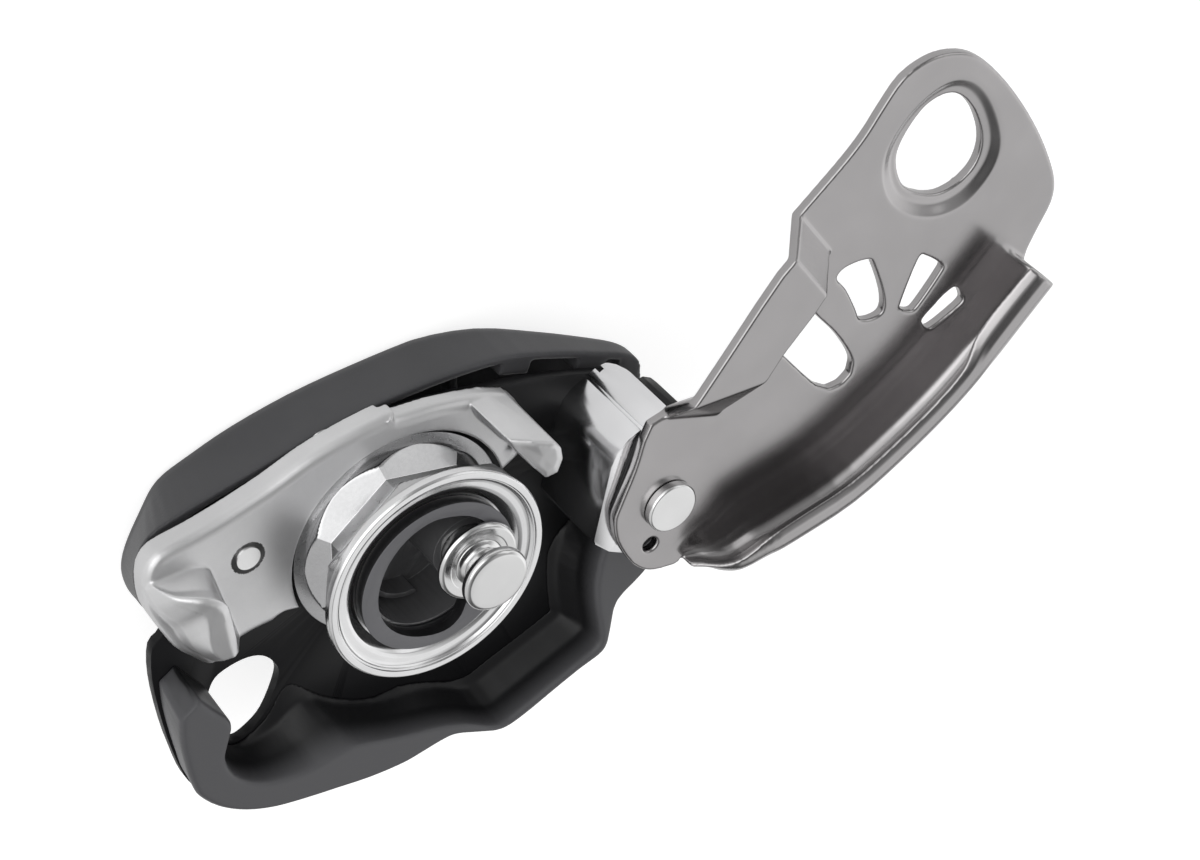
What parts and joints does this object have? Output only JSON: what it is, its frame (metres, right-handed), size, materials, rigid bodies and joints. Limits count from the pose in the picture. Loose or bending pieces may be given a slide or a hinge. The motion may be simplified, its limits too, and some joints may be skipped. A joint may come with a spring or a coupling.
{
  "type": "assisted braking belay device",
  "caption": "Opened belay device with a faceted rope wheel on a pivoting cam, a friction plate with a brake lip, a swung-out side plate and a folding release handle.",
  "frame": {"origin": "on the axis of the wheel, in the plane of the handle's flat back, on which the device lies", "axes": "+Z along the wheel's axis from the handle to the open front, +X from the carabiner end of the fixed plate to its hinge end, +Y to the friction plate's side"},
  "size_m": [0.1826, 0.096, 0.0462],
  "materials": {
    "black_plate": "black anodised",
    "grey_moulding": "fine satin",
    "dull_rivets": "satin",
    "satin_steel": "fine blasted",
    "block_alloy": "smooth satin",
    "black_moulding": "satin",
    "bright_steel": "turned and polished",
    "black_cam": "black anodised",
    "grey_cover": "satin",
    "spring_steel": "drawn wire",
    "lever_steel": "stamped",
    "polished_wheel": "polished stainless steel",
    "bearing_bronze": "sintered",
    "moving_alloy": "anodised, brushed"
  },
  "bodies": {
    "base": {"fixed_plate": "black_plate", "body_moulding": "grey_moulding", "moulding_rivets": "dull_rivets", "friction_plate": "satin_steel", "friction_rivets": "dull_rivets", "hinge_block": "block_alloy", "hinge_sleeve": "black_moulding", "hinge_pad": "black_moulding", "hinge_rivet": "bright_steel", "axle": "bright_steel", "axle_collar": "bright_steel", "spring_post": "dull_rivets", "lever_ring": "spring_steel"},
    "cam_body": {"cam": "black_cam", "cam_cover": "grey_cover", "drive_pin": "dull_rivets", "release_lever": "lever_steel", "handle_pin": "dull_rivets", "cam_spring": "spring_steel"},
    "wheel_body": {"wheel": "polished_wheel", "wheel_bearing": "bearing_bronze"},
    "handle_body": {"handle": "grey_moulding", "handle_washer": "black_moulding"},
    "moving_side": {"moving_plate": "moving_alloy", "moving_bush": "dull_rivets"}
  },
  "joints": [
    {"name": "cam_pivot", "type": "hinge", "parent": "base", "child": "cam_body", "pos_m": [0.00635, -0.00325, 0.0161], "axis": [0, 0, 1], "range_deg": [-16, 8], "stiffness_Nm_per_rad": 0.12, "deforming": ["cam_spring"]},
    {"name": "wheel_spin", "type": "hinge", "parent": "cam_body", "child": "wheel_body", "pos_m": [0, 0, 0.025], "axis": [0, 0, 1], "continuous": true},
    {"name": "handle_fold", "type": "hinge", "parent": "cam_body", "child": "handle_body", "pos_m": [-0.024, 0.014, 0.006], "axis": [0, 0, 1], "range_deg": [0, 100]},
    {"name": "plate_swing", "type": "hinge", "parent": "base", "child": "moving_side", "pos_m": [0.0353, -0.0257, 0.0357], "axis": [0, 0, 1], "range_deg": [0, 150]}
  ]
}
